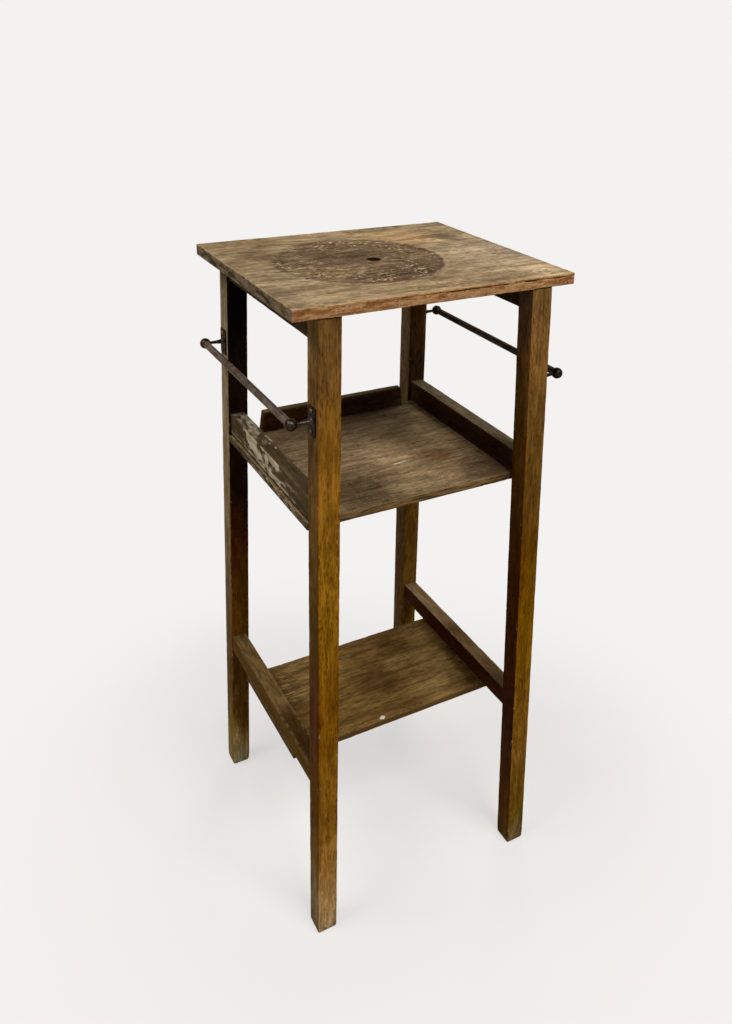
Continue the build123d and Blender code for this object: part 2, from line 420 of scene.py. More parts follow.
TOP_LOW, TOP_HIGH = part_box("top_board")
SPLIT_Z = TOP_HIGH.z - 4.0 * MM      # a split along the long front edge, just under its arris
SPLIT_FROM_X = -65 * MM
SPLIT_DEPTH, SPLIT_WIDTH = 1.8 * MM, 0.9 * MM


def front_split(p):
    """How deep the split runs in at this point of the front edge."""
    if p.y > TOP_LOW.y + 1 * MM or p.x < SPLIT_FROM_X:
        return 0.0
    wander = SPLIT_Z + 0.7 * MM * fbm(p, 12.0, 61)
    width = SPLIT_WIDTH * max(0.0, 0.75 + 1.2 * fbm(p, 30.0, 67))
    return SPLIT_DEPTH * max(0.0, 1 - abs(p.z - wander) / width) if width > 0 else 0.0


FINE, THIN = (3 * MM, 0.9 * MM, 3 * MM), (4 * MM, 3 * MM, 4 * MM)      # mesh sizes, the finer for the split
board("top_board", FINE, radius=1.2 * MM, wave=0.22 * MM, chip=1.8, seed=41, carve=front_split)
board("tray_board", THIN, radius=1.0 * MM, wave=0.22 * MM, chip=1.3, seed=43)
board("lower_shelf", THIN, radius=1.0 * MM, wave=0.22 * MM, chip=1.6, seed=47)
board("tray_lip", (3 * MM, 4 * MM, 4 * MM), radius=1.4 * MM, wave=0.2 * MM, chip=1.2, seed=53, slant=5 * MM)


def bore(obj, mount):
    """Cut a through hole where the record's bore mount lies."""
    at, radius = Vector(mount["pos_m"]), mount["dims"]["r_mm"] * MM
    mesh = bmesh.new()
    bmesh.ops.create_cone(mesh, cap_ends=True, segments=64, radius1=radius, radius2=radius, depth=0.1,
                          matrix=Matrix.Translation(at))
    cutter = link_bmesh("cutter", mesh)
    cut = obj.modifiers.new("bore", "BOOLEAN")
    cut.operation, cut.solver, cut.object = "DIFFERENCE", "EXACT", cutter
    bpy.context.view_layer.update()
    done = bpy.data.meshes.new_from_object(obj.evaluated_get(bpy.context.evaluated_depsgraph_get()))
    obj.modifiers.clear()
    obj.data = done
    bpy.data.objects.remove(cutter)


PIVOT = next(m for m in frame["record"]["mounts"] if m["name"] == "pivot_hole")
PIVOT_AT, PIVOT_RADIUS = (PIVOT["pos_m"][0] / MM, PIVOT["pos_m"][1] / MM), PIVOT["dims"]["r_mm"]
bore(pieces["top_board"], PIVOT)


# ---------------------------------------------------------------- wood

WOOD_GLOSS = 0.012     # dry bare wood, hardly any shine
SHADOW_FALL, LIGHT_RISE = (0.50, 0.54, 0.60), (0.26, 0.25, 0.22)      # how far grain shades red, green and blue


def timber(t, base, grain, seed, contrast=1.0, pores=0.6, flecks=0.4, size=1.0, gain=1.25):
    """Grain over a base colour: bands, fibres, mottling, open pores in short dashes, pale flecks."""
    bands = t.noise(t.stretched(grain, seed, 0.07), 62.0, 4.0, 0.6)
    fibres = t.noise(t.stretched(grain, seed + 5, 0.10), 300.0 / size, 4.0, 0.7)
    mottle = t.noise(t.stretched(grain, seed, 0.25), 95.0 / size, 5.0, 0.7)
    tone = t.add(t.mul(bands, 0.28), t.add(t.mul(fibres, 0.34), t.mul(mottle, 0.38)))
    shadow = tuple(gain * (1 - f * contrast) for f in SHADOW_FALL) + (1.0,)
    light = tuple(gain * (1 + f * contrast) for f in LIGHT_RISE) + (1.0,)
    colour = t.times(base, t.mix(t.span(tone, 0.42, 0.59), shadow, light))
    crowd = t.span(t.noise(t.stretched(grain, seed + 2, 0.15), 70.0, 3.0, 0.6), 0.42, 0.58, 0.30, 1.0)
    fine = t.dashes(grain, 2.4 * size, 12.0, 0.50, seed, 0.52)
    coarse = t.dashes(grain, 3.6 * size, 26.0, 0.36, seed + 1.7, 0.44)
    open_pores = t.mul(t.math("MAXIMUM", fine, t.mul(coarse, 0.85)), crowd)
    dark = t.times(colour, (0.30, 0.24, 0.18, 1.0))
    colour = t.lay(colour, dark, open_pores, pores)
    pale = t.dashes(grain, 2.3 * size, 9.0, 0.34, seed + 4.1, 0.48)
    colour = t.lay(colour, t.times(colour, (1.9, 1.75, 1.5, 1.0)), pale, flecks)
    height = t.less(t.add(t.mul(fibres, 0.5), 0.5), t.mul(open_pores, 0.6))
    return colour, height


def finish(t, colour, height, rough, relief=0.5):
    """Connect the colour, the cloudy roughness and the relief."""
    cloud = t.noise(t.pos, 65.0, 3.0, 0.6)
    t.put(t.bsdf.inputs["Base Color"], colour)
    t.put(t.bsdf.inputs["Roughness"], t.span(t.add(cloud, t.mul(height, 0.15)), 0.35, 0.75, rough - 0.08, rough + 0.12))
    t.bsdf.inputs["Specular IOR Level"].default_value = WOOD_GLOSS
    t.put(t.bsdf.inputs["Normal"], t.bump(height, relief, 0.0005))
    return t.mat


def rubbed(t, colour, tone, amount, seed=0.0):
    """Arrises rubbed to another tone, in broken stretches."""
    nick = t.noise(t.vec("ADD", t.pos, (0.0, seed, seed)), 120.0, 4.0, 0.65)
    return t.lay(colour, tone, t.attribute("edge"), t.span(nick, 0.40, 0.60), amount)


def painted(t, colour, at, marks):
    """Lay soft patches, each (centre, size, turn, amount, tone), over a colour."""
    for centre, size, turn, amount, tone in marks:
        colour = t.lay(colour, tone, t.patch(at, centre, size, turn, soft=1.3), amount)
    return colour


# ---------------------------------------------------------------- the top

# the pale patches towards the right, the front-right corner and the back-right are a painted highlight: brighter light
# on that side of the top, painted into its colour
TOP_TONES = (
    ((-120, -150), (110, 46), 0.0, 0.7, srgb(136, 118, 90)), ((20, -165), (190, 34), 0.0, 0.6, srgb(150, 128, 98)),
    ((168, -50), (62, 100), 0.0, 0.75, srgb(172, 151, 124)), ((196, -168), (34, 28), 0.0, 0.9, srgb(180, 158, 126)),
    ((196, 20), (34, 56), 0.0, 0.6, srgb(156, 137, 114)), ((108, 108), (58, 54), 0.3, 0.85, srgb(175, 143, 104)),
    ((74, 148), (30, 20), 0.4, 0.8, srgb(158, 136, 94)), ((0, 172), (74, 20), 0.0, 0.7, srgb(156, 129, 99)),
    ((-128, 165), (52, 22), 0.0, 0.7, srgb(150, 129, 94)), ((-186, 120), (30, 36), 0.0, 0.6, srgb(132, 110, 82)),
    ((-163, 78), (32, 38), 0.2, 0.95, srgb(107, 90, 68)), ((-125, 138), (16, 34), -0.5, 0.7, srgb(98, 84, 62)),
    ((-206, -122), (26, 20), 0.3, 0.75, srgb(106, 92, 75)), ((168, 84), (20, 36), 0.2, 0.95, srgb(106, 90, 68)),
    ((202, -42), (18, 26), 0.2, 0.5, srgb(122, 107, 93)), ((140, -164), (36, 14), 0.0, 0.5, srgb(126, 104, 74)),
    ((-118, 180), (9, 5), 0.0, 0.9, srgb(52, 38, 26)), ((104, 186), (26, 5), 0.0, 0.8, srgb(70, 62, 54)),
    ((-180, -40), (36, 26), 0.2, 0.5, srgb(118, 104, 82)), ((30, -140), (70, 10), 0.0, 0.35, srgb(118, 100, 74)),
)
DISC_TONES = (
    ((-100, 68), (44, 58), -0.5, 0.9, srgb(122, 105, 82)), ((-30, 98), (46, 30), 0.0, 0.8, srgb(92, 73, 56)),
    ((-46, 30), (54, 34), -0.1, 0.95, srgb(74, 57, 39)), ((56, 18), (40, 56), 0.0, 0.7, srgb(96, 79, 58)),
    ((-14, -84), (74, 34), 0.05, 0.95, srgb(76, 58, 41)), ((86, 28), (10, 26), 0.2, 0.7, srgb(78, 61, 43)),
    ((-102, -40), (48, 22), -0.1, 0.75, srgb(112, 92, 68)), ((-70, -66), (46, 14), -0.2, 0.6, srgb(132, 111, 84)),
    ((-26, -12), (24, 18), 0.0, 0.4, srgb(114, 97, 74)), ((42, -24), (34, 14), 0.0, 0.4, srgb(112, 92, 70)),
    ((-88, -32), (60, 4), -0.26, 0.75, srgb(164, 140, 106)), ((-60, -52), (40, 3), -0.12, 0.6, srgb(158, 134, 100)),
    ((14, -9), (20, 4), 0.35, 0.6, srgb(146, 124, 98)), ((-17, -40), (9, 20), -0.6, 0.55, srgb(142, 121, 95)),
)
DISC_AT, DISC_RADIUS = (-32, 1), 129      # the turntable's mark


def round_patch(t, at, centre, radius, soft):
    return t.patch(at, centre, (radius, radius), soft=soft)


def scrapes(t):
    """Arcs scraped round the disc's middle: noise over the distance from it and the angle round it."""
    from_hub = t.vec("ADD", t.pos, (-DISC_AT[0] * MM, -DISC_AT[1] * MM, 0.0))
    swirl = t.nt.nodes.new("ShaderNodeCombineXYZ")
    t.put(swirl.inputs[0], t.mul(t.vec("LENGTH", from_hub), 260.0))
    t.put(swirl.inputs[1], t.mul(t.math("ARCTAN2", t.axis(from_hub, "Y"), t.axis(from_hub, "X")), 2.6))
    return t.span(t.noise(swirl.outputs[0], 1.0, 3.0, 0.6), 0.46, 0.34)


def turntable_marks(t, colour, disc, loose, tight):
    """Streaks, then crumbs of pale wood and dark pits, thickest where the turntable dug in, and a rim."""
    streak = t.noise(t.stretched("X", 9.0, 0.16), 150.0, 4.0, 0.65)
    colour = t.lay(colour, srgb(50, 35, 23), disc, t.span(streak, 0.50, 0.36), 0.6)
    colour = t.lay(colour, srgb(172, 147, 110), disc, t.span(streak, 0.53, 0.68), 0.35)

    rubbed_clean = t.patch(loose, (-104, 74), (40, 50), -0.5, soft=0.8)
    spread = t.less(disc, t.mul(round_patch(t, tight, DISC_AT, 76, 0.9), 0.75))
    crowd = t.mul(t.span(t.noise(t.pos, 24.0, 3.0, 0.6), 0.42, 0.56), t.less(spread, rubbed_clean))
    grit = t.noise(t.stretched("X", 15.0, 0.7), 125.0, 5.0, 0.78)
    colour = t.lay(colour, srgb(48, 34, 23), disc, t.span(grit, 0.46, 0.37), 0.55)
    flakes = t.span(t.noise(t.stretched("X", 14.0, 0.8), 130.0, 4.0, 0.75), 0.55, 0.61)
    crumbs = t.math("MAXIMUM", flakes, t.mul(t.dashes("X", 3.4, 6.0, 0.40, 8.3, 0.5), 0.8))
    broken = t.span(t.noise(t.pos, 90.0, 3.0, 0.6), 0.38, 0.52)
    colour = t.lay(colour, srgb(212, 188, 148), crumbs, crowd, broken, 0.95)
    colour = t.lay(colour, srgb(54, 37, 24), t.dashes("X", 5.5, 11.0, 0.40, 12.3, 0.50), crowd, 0.6)

    ring = t.less(disc, round_patch(t, tight, DISC_AT, 88, 0.8))
    here = t.span(t.noise(t.pos, 14.0, 2.0, 0.5), 0.44, 0.58)
    colour = t.lay(colour, srgb(48, 34, 22), scrapes(t), ring, here, 0.7)
    pits = t.mul(t.dashes("X", 2.6, 8.0, 0.42, 11.7), t.add(t.mul(disc, 0.75), 0.12))
    colour = t.lay(colour, srgb(56, 41, 28), pits, 0.7)

    dark_rim = t.less(disc, round_patch(t, tight, DISC_AT, DISC_RADIUS - 5, 0.07))
    colour = t.lay(colour, srgb(70, 52, 37), dark_rim, t.span(t.noise(t.pos, 18.0, 3.0, 0.6), 0.40, 0.56), 0.6)
    pale_rim = t.less(round_patch(t, tight, DISC_AT, DISC_RADIUS + 4, 0.05), disc)
    return t.lay(colour, srgb(192, 168, 134), pale_rim, t.patch(loose, (90, -40), (44, 60), soft=0.8), 0.5)


def long_edge_tone(t):
    """Raw orange-brown fibres, with a split under the arris."""
    fibre = t.noise(t.stretched("X", 4.0, 0.16), 260.0, 4.0, 0.7)
    raw = t.mix(t.span(fibre, 0.38, 0.62), srgb(158, 104, 60), srgb(214, 164, 112))
    raw = t.lay(raw, srgb(92, 52, 26), t.dashes("X", 2.2, 7.0, 0.30, 3.3), 0.6)
    raw = t.lay(raw, srgb(240, 204, 150), t.dashes("X", 2.0, 5.0, 0.30, 3.9), 0.5)
    off_split = t.math("ABSOLUTE", t.math("SUBTRACT", t.axis(t.pos, "Z"), SPLIT_Z))
    open_here = t.span(t.noise(t.stretched("X", 8.0, 0.3), 60.0, 3.0, 0.6), 0.40, 0.50)
    from_x = t.span(t.axis(t.pos, "X"), -0.075, -0.04, 0.3, 1.0)
    return t.lay(raw, srgb(34, 20, 12), t.span(off_split, 0.0017, 0.0004), open_here, from_x, 0.9)


def end_grain_tone(t):
    """Greyed end grain."""
    cloud = t.noise(t.stretched("Y", 2.0, 0.25), 110.0, 5.0, 0.7)
    ends = t.mix(t.span(cloud, 0.40, 0.60), srgb(80, 66, 50), srgb(160, 138, 110))
    return t.lay(ends, srgb(60, 48, 34), t.dashes("Y", 2.6, 12.0, 0.3, 5.9), 0.4)


def top_material():
    t = Tree("oak_top")
    loose, tight = t.warped(26.0, 0.055), t.warped(75.0, 0.016, 0.7)
    disc = round_patch(t, tight, DISC_AT, DISC_RADIUS, 0.07)
    base = painted(t, srgb(140, 122, 94), loose, TOP_TONES)
    base = t.lay(base, painted(t, srgb(112, 93, 70), loose, DISC_TONES), disc, 0.93)
    colour, height = timber(t, base, "X", 1.0, contrast=0.72, pores=0.55, flecks=0.42, size=1.9, gain=1.20)
    blotch = t.span(t.noise(t.stretched("X", 31.0, 0.5), 46.0, 5.0, 0.72), 0.38, 0.62)
    colour = t.times(colour, t.mix(blotch, (0.76, 0.77, 0.79, 1.0), (1.20, 1.20, 1.20, 1.0)))
    colour = turntable_marks(t, colour, disc, loose, tight)

    crack = t.math("MAXIMUM", t.patch(tight, (-160, -22), (20, 1.3), -0.35, soft=0.9),
                   t.patch(tight, (-144, -66), (4, 2.5), soft=0.8))
    colour = t.lay(colour, srgb(42, 30, 20), crack, 0.85)
    # a darker ring round the pivot hole; below, the bore's wall is painted dark: painted shade inside the hole
    pivot_ring = round_patch(t, t.warped(120.0, 0.004, 3.0), PIVOT_AT, PIVOT_RADIUS + 2.5, 0.25)
    colour = t.lay(colour, srgb(46, 31, 20), pivot_ring, 0.85)
    off_pivot = t.less(1.0, round_patch(t, t.pos, PIVOT_AT, PIVOT_RADIUS + 8, 0.1))
    in_bore = t.less(1.0, t.math("MAXIMUM", off_pivot, t.facing("Z", 1)))
    colour = t.mix(in_bore, colour, srgb(40, 27, 17))
    colour = t.lay(colour, long_edge_tone(t), t.both_ends("Y"), off_pivot)
    colour = t.lay(colour, end_grain_tone(t), t.both_ends("X"), off_pivot)
    colour = rubbed(t, colour, srgb(206, 172, 124), 0.35)
    # the underside painted darker: painted shade under the board
    colour = t.lay(colour, srgb(74, 54, 32), t.facing("Z", -1), 0.7)
    return finish(t, colour, t.less(height, crack), 0.72, relief=0.7)


# ---------------------------------------------------------------- legs

# tones down each leg, (height in mm, colour), for the faces that look to the front and to the left
# front-left leg's front face: the darker tones from 950 mm up are painted shade under the top board
GOLD = ((0, srgb(197, 171, 125)), (28, srgb(201, 166, 113)), (75, srgb(206, 161, 100)), (125, srgb(194, 143, 72)),
        (205, srgb(152, 105, 32)), (400, srgb(136, 90, 12)), (600, srgb(165, 116, 24)), (850, srgb(155, 107, 36)),
        (950, srgb(133, 95, 47)), (1040, srgb(114, 84, 43)))
# front-left leg's left face: the pale tones from 1000 mm up are painted light, set against the shade under the top
# board
LEFT_OUTER = ((0, srgb(129, 105, 76)), (60, srgb(154, 133, 100)), (120, srgb(136, 102, 44)), (210, srgb(112, 72, 0)),
              (400, srgb(90, 46, 0)), (600, srgb(106, 75, 14)), (800, srgb(127, 90, 45)), (940, srgb(128, 94, 48)),
              (1000, srgb(196, 158, 96)), (1040, srgb(214, 172, 104)))
GREYED = ((0, srgb(168, 146, 94)), (60, srgb(162, 138, 75)), (130, srgb(137, 104, 43)), (210, srgb(112, 79, 25)),
          (400, srgb(122, 100, 61)), (600, srgb(171, 146, 104)), (800, srgb(173, 155, 121)),
          (1040, srgb(163, 146, 113)))
# front-right leg's left face, which looks into the stand: its dark tones are painted shade over the wood's colour
INWARD_SHADED = ((0, srgb(102, 74, 23)), (60, srgb(100, 60, 9)), (200, srgb(78, 40, 8)), (300, srgb(68, 31, 6)),
           (400, srgb(86, 47, 14)), (600, srgb(84, 47, 5)), (800, srgb(114, 77, 24)), (930, srgb(146, 106, 58)),
           (1040, srgb(126, 100, 80)))
# back-left leg's front face: the dark tones from 600 mm up are painted shade under the tray and the top board, near
# black under the top; the very pale foot is bleached wood brightened by painted light
SHADED = ((0, srgb(255, 246, 190)), (45, srgb(240, 204, 132)), (105, srgb(168, 122, 48)), (200, srgb(104, 72, 21)),
          (400, srgb(134, 89, 16)), (500, srgb(117, 65, 19)), (600, srgb(46, 28, 12)), (780, srgb(63, 44, 34)),
          (860, srgb(47, 35, 27)), (915, srgb(19, 16, 11)), (1040, srgb(16, 17, 7)))
RIGHT_FRONT = ((0, srgb(146, 125, 92)), (30, srgb(130, 107, 63)), (60, srgb(115, 87, 16)), (200, srgb(151, 106, 37)),
               (400, srgb(142, 100, 10)), (600, srgb(109, 69, 4)), (800, srgb(134, 98, 45)), (930, srgb(145, 104, 52)),
               (1040, srgb(128, 99, 56)))
FAR = ((0, srgb(163, 130, 72)), (150, srgb(124, 90, 32)), (350, srgb(122, 88, 29)), (480, srgb(123, 88, 32)),
       (800, srgb(71, 50, 29)), (860, srgb(112, 78, 37)), (1040, srgb(112, 81, 41)))
FAR_SIDE = ((0, srgb(126, 99, 60)), (350, srgb(114, 83, 45)), (480, srgb(109, 81, 50)), (800, srgb(141, 112, 80)),
            (1040, srgb(134, 119, 75)))
LEG_TONES = {"leg_front_left": (GOLD, LEFT_OUTER), "leg_front_right": (RIGHT_FRONT, INWARD_SHADED),
             "leg_back_left": (SHADED, GREYED), "leg_back_right": (FAR, FAR_SIDE)}
HIDDEN_TONES = ((0, srgb(178, 146, 98)), (90, srgb(150, 112, 58)), (240, srgb(138, 94, 34)), (1040, srgb(132, 92, 40)))


def leg_material(node, seed):
    t = Tree("oak_" + node)
    front, left = LEG_TONES[node]
    # heights shaken by noise along the grain, so that the bleached foot climbs unevenly
    climb = t.math("SUBTRACT", t.noise(t.stretched("Z", seed, 0.30), 48.0, 4.0, 0.6), 0.5)
    shaken = t.add(t.mul(t.axis(t.pos, "Z"), 1000.0), t.mul(climb, 150.0))
    base = t.ramp(shaken, HIDDEN_TONES)
    base = t.mix(t.facing("Y", -1), base, t.ramp(shaken, front))
    base = t.mix(t.facing("X", -1), base, t.ramp(shaken, left))
    foot = t.span(shaken, 190.0, 40.0)
    pores = t.math("SUBTRACT", 0.66, t.mul(foot, 0.38))
    colour, height = timber(t, base, "Z", seed, contrast=0.80, pores=pores, flecks=0.32, gain=1.28)
    red = t.times(colour, (0.90, 0.72, 0.50, 1.0))
    colour = t.lay(colour, red, t.attribute("edge"), 0.6)
    nicks = t.mul(t.attribute("edge"), t.dashes("Z", 4.0, 9.0, 0.10, seed + 6.0))
    colour = t.lay(colour, srgb(212, 184, 138), nicks, 0.8)
    # wet-bleached end: open grain, a dirty sole
    dirt = t.mul(t.dashes("Z", 3.0, 12.0, 0.45, seed + 8.0), foot)
    colour = t.lay(colour, srgb(96, 70, 42), dirt, 0.30)
    sole = t.mul(t.span(t.axis(t.pos, "Z"), 0.016, 0.002), t.span(t.noise(t.pos, 160.0, 3.0, 0.6), 0.42, 0.60))
    colour = t.lay(colour, srgb(70, 58, 40), sole, 0.7)
    return finish(t, colour, height, 0.50, relief=0.5)


# ---------------------------------------------------------------- bars between the legs, tray, shelf

def bar_material(node, faces, seed, marks=None, pores=0.5, contrast=0.7):
    """faces: tones for the left-looking, right-looking, upper and other faces."""
    t = Tree("oak_" + node)
    left, right, upper, other = faces
    base = t.mix(t.facing("X", -1), other, left)
    base = t.mix(t.facing("X", 1), base, right)
    base = t.mix(t.facing("Z", 1), base, upper)
    colour, height = timber(t, base, "Y", seed, contrast=contrast, pores=pores, flecks=0.22, gain=1.15)
    colour = rubbed(t, colour, srgb(146, 122, 86), 0.55, seed)
    if marks:
        colour, height = marks(t, colour, height)
    return finish(t, colour, height, 0.62, relief=0.6)


def paint_smears(t, colour, height):
    """Old cream paint or clay smeared over the tray rail's outer face and rubbed into its edges."""
    at = t.warped(42.0, 0.030, 0.4)
    body = t.patch(at, (64, 746), (24, 14), plane="YZ", soft=0.7)
    for centre, size, amount in (((40, 736), (26, 9), 0.8), ((4, 744), (7, 15), 0.9), ((-22, 751), (26, 9), 0.95),
                                 ((86, 755), (30, 4), 0.8), ((20, 757), (60, 3), 0.9), ((-20, 728), (60, 4), 0.6)):
        body = t.math("MAXIMUM", body, t.mul(t.patch(at, centre, size, plane="YZ", soft=0.8), amount))
    hole = t.patch(at, (38, 751), (9, 5), plane="YZ", soft=0.5)
    flaked = t.noise(t.stretched("Y", 2.2, 0.35), 110.0, 5.0, 0.65)
    smear = t.span(t.add(t.less(body, hole), t.mul(t.math("SUBTRACT", flaked, 0.5), 1.5)), 0.15, 0.85)
    foot_line = t.mul(t.patch(t.pos, (16, 723), (136, 2.6), plane="YZ", soft=0.7), t.span(flaked, 0.40, 0.52))
    outer = t.math("MAXIMUM", smear, t.mul(foot_line, 0.8))
    thin = t.mul(t.patch(at, (20, 738), (120, 22), plane="YZ", soft=0.9), t.span(flaked, 0.52, 0.66))
    outer = t.mul(t.math("MAXIMUM", outer, t.mul(thin, 0.4)), t.facing("X", -1))
    cream = t.mix(t.span(flaked, 0.42, 0.60), srgb(222, 202, 162), srgb(255, 242, 208))
    colour = t.lay(colour, cream, outer, 0.95)
    seam = t.mul(t.span(t.axis(t.pos, "Z"), 0.7205, 0.7185), t.facing("X", -1))
    colour = t.lay(colour, srgb(24, 17, 11), seam, 0.9)
    dust = t.mul(t.patch(at, (100, -171), (58, 13), plane="YX", soft=1.0), t.span(flaked, 0.40, 0.62))
    inner_edge = t.mul(t.patch(at, (52, -162), (16, 1.8), plane="YX", soft=0.8), t.span(flaked, 0.40, 0.5))
    more = t.mul(t.patch(at, (22, -164), (10, 1.6), plane="YX", soft=0.8), t.span(flaked, 0.40, 0.5))
    top = t.mul(t.math("MAXIMUM", t.mul(dust, 0.55), t.math("MAXIMUM", inner_edge, more)), t.facing("Z", 1))
    colour = t.lay(colour, cream, top, 0.9)
    return colour, t.add(height, t.mul(outer, 0.9))


def scuffed(t, colour, where, tone):
    """The upper face of a bar, rubbed to a paler tone in streaks."""
    pale = t.noise(t.stretched("Y", 7.0, 0.25), 90.0, 5.0, 0.7)
    worn = t.mul(t.add(t.span(pale, 0.40, 0.62), 0.55), where, t.facing("Z", 1))
    return t.lay(colour, tone, worn, 0.62)


def scuffed_middle(t, colour, height):
    return scuffed(t, colour, t.span(t.axis(t.pos, "Y"), -0.07, -0.01), srgb(124, 99, 60)), height


def scuffed_ends(t, colour, height):
    at = t.axis(t.pos, "Y")
    where = t.add(t.span(at, 0.0, 0.07), t.mul(t.span(at, 0.0, -0.07), 0.45))
    return scuffed(t, colour, where, srgb(160, 134, 98)), height


TRAY_TONES = (
    ((15, -18), (46, 48), 0.0, 0.8, srgb(182, 157, 120)), ((40, -128), (84, 24), 0.0, 0.75, srgb(170, 148, 114)),
    ((60, -92), (60, 30), 0.2, 0.5, srgb(158, 136, 100)), ((126, 36), (36, 66), 0.0, 0.8, srgb(182, 157, 118)),
    ((86, -48), (26, 28), 0.5, 0.8, srgb(118, 88, 56)), ((-84, -104), (56, 66), 0.0, 0.9, srgb(76, 62, 43)),
    ((128, -128), (40, 34), 0.0, 0.85, srgb(92, 72, 50)), ((22, 118), (80, 30), 0.0, 0.5, srgb(128, 106, 80)),
    ((110, 112), (44, 34), 0.0, 0.8, srgb(190, 166, 128)), ((146, -40), (12, 100), 0.0, 0.5, srgb(112, 92, 66)),
    ((-104, 90), (44, 60), 0.0, 0.6, srgb(124, 107, 81)), ((-44, -48), (44, 34), 0.0, 0.6, srgb(122, 103, 76)),
    ((-120, 0), (30, 120), 0.0, 0.5, srgb(96, 80, 58)), ((48, 40), (20, 40), 0.5, 0.35, srgb(108, 88, 62)),
)


def tray_material():
    t = Tree("oak_tray")
    loose, tight = t.warped(24.0, 0.050, 2.0), t.warped(80.0, 0.008, 2.7)
    base = painted(t, srgb(142, 120, 90), loose, TRAY_TONES)
    colour, height = timber(t, base, "X", 13.0, contrast=0.78, pores=0.6, flecks=0.40, size=1.35, gain=1.16)
    crowd = t.span(t.noise(t.pos, 30.0, 3.0, 0.6), 0.44, 0.6)
    grit = t.mul(t.dashes("X", 3.0, 5.0, 0.34, 15.0), crowd)
    colour = t.lay(colour, srgb(192, 170, 134), grit, 0.22)
    pits = t.mul(t.dashes("X", 3.2, 7.0, 0.34, 16.2), t.less(1.0, crowd))
    colour = t.lay(colour, srgb(62, 48, 32), pits, 0.5)
    scratch = t.mul(t.patch(tight, (21, -51), (17, 1.8), 0.06, soft=0.7),
                    t.span(t.noise(t.pos, 240.0, 3.0, 0.6), 0.36, 0.5))
    colour = t.lay(colour, srgb(236, 226, 200), scratch, 0.85)
    raw = t.mix(t.span(t.noise(t.stretched("X", 6.0, 0.12), 240.0, 4.0, 0.65), 0.36, 0.62), srgb(76, 52, 26),
                srgb(156, 122, 78))
    colour = t.lay(colour, raw, t.both_ends("Y"), 0.9)
    left = t.facing("X", -1)
    chips = t.span(t.noise(t.stretched("Y", 3.0, 0.3), 150.0, 5.0, 0.7), 0.46, 0.58)
    line = t.math("MAXIMUM", t.patch(tight, (-60, 715), (76, 2.5), plane="YZ", soft=0.8),
                  t.mul(t.patch(tight, (-20, 709), (110, 6), plane="YZ", soft=0.9), 0.5))
    colour = t.mix(left, colour, t.mix(t.span(t.noise(t.pos, 60.0, 4.0, 0.6), 0.4, 0.6), srgb(72, 58, 38),
                                       srgb(116, 98, 70)))
    colour = t.lay(colour, srgb(226, 210, 176), left, chips, line, 0.9)
    colour = rubbed(t, colour, srgb(144, 122, 88), 0.35, 2.0)
    # the underside painted darker: painted shade under the board
    colour = t.lay(colour, srgb(84, 62, 38), t.facing("Z", -1), 0.7)
    return finish(t, colour, height, 0.66, relief=0.6)


def lip_material():
    t = Tree("oak_lip")
    base = t.mix(t.span(t.axis(t.pos, "X"), -0.12, 0.02), srgb(96, 68, 36), srgb(94, 72, 52))
    base = t.mix(t.facing("Z", 1), base, srgb(120, 98, 68))
    colour, height = timber(t, base, "X", 71.0, contrast=0.9, pores=0.6, flecks=0.2)
    colour = rubbed(t, colour, srgb(146, 118, 80), 0.6, 3.0)
    return finish(t, colour, height, 0.62, relief=0.6)


SHELF_TONES = (
    ((88, -82), (38, 34), 0.3, 0.9, srgb(134, 108, 64)), ((104, -20), (34, 52), 0.2, 0.55, srgb(124, 101, 62)),
    ((128, 20), (30, 84), 0.0, 0.75, srgb(120, 95, 58)), ((-122, 58), (36, 34), 0.5, 0.75, srgb(102, 80, 48)),
    ((-150, 20), (24, 70), 0.0, 0.75, srgb(74, 56, 28)), ((-96, -30), (40, 60), 0.0, 0.5, srgb(92, 70, 37)),
    ((12, -20), (44, 36), 0.1, 0.85, srgb(70, 48, 22)), ((50, 70), (60, 28), -0.2, 0.5, srgb(104, 74, 42)),
    ((58, 12), (26, 10), 0.5, 0.45, srgb(134, 108, 70)), ((4, -92), (60, 14), 0.0, 0.5, srgb(98, 73, 40)),
    ((158, -30), (10, 90), 0.0, 0.7, srgb(60, 42, 20)), ((80, 52), (30, 22), 0.0, 0.5, srgb(64, 45, 20)),
)


def shelf_material():
    t = Tree("oak_shelf")
    loose, tight = t.warped(24.0, 0.055, 5.0), t.warped(90.0, 0.006, 5.7)
    base = painted(t, srgb(102, 79, 42), loose, SHELF_TONES)
    colour, height = timber(t, base, "X", 17.0, contrast=0.9, pores=0.6, flecks=0.25)
    streaks = t.mul(t.span(t.noise(t.stretched("X", 21.0, 0.16), 210.0, 4.0, 0.65), 0.50, 0.64),
                    t.patch(loose, (-104, 50), (80, 44), 0.4, soft=1.2))
    colour = t.lay(colour, srgb(164, 138, 98), streaks, 0.6)
    colour = t.lay(colour, srgb(118, 88, 46), t.both_ends("Y"), 0.7)
    spot = t.patch(tight, (-30, -102.5), (4.6, 4.2), 0.3, soft=0.25)
    colour = t.lay(colour, srgb(220, 210, 190), spot, t.facing("Z", 1), 0.95)
    colour = rubbed(t, colour, srgb(146, 116, 72), 0.5, 4.0)
    return finish(t, colour, height, 0.62, relief=0.6)


TOP, TRAY, LIP, SHELF = top_material(), tray_material(), lip_material(), shelf_material()
BROWN = srgb(120, 94, 60)
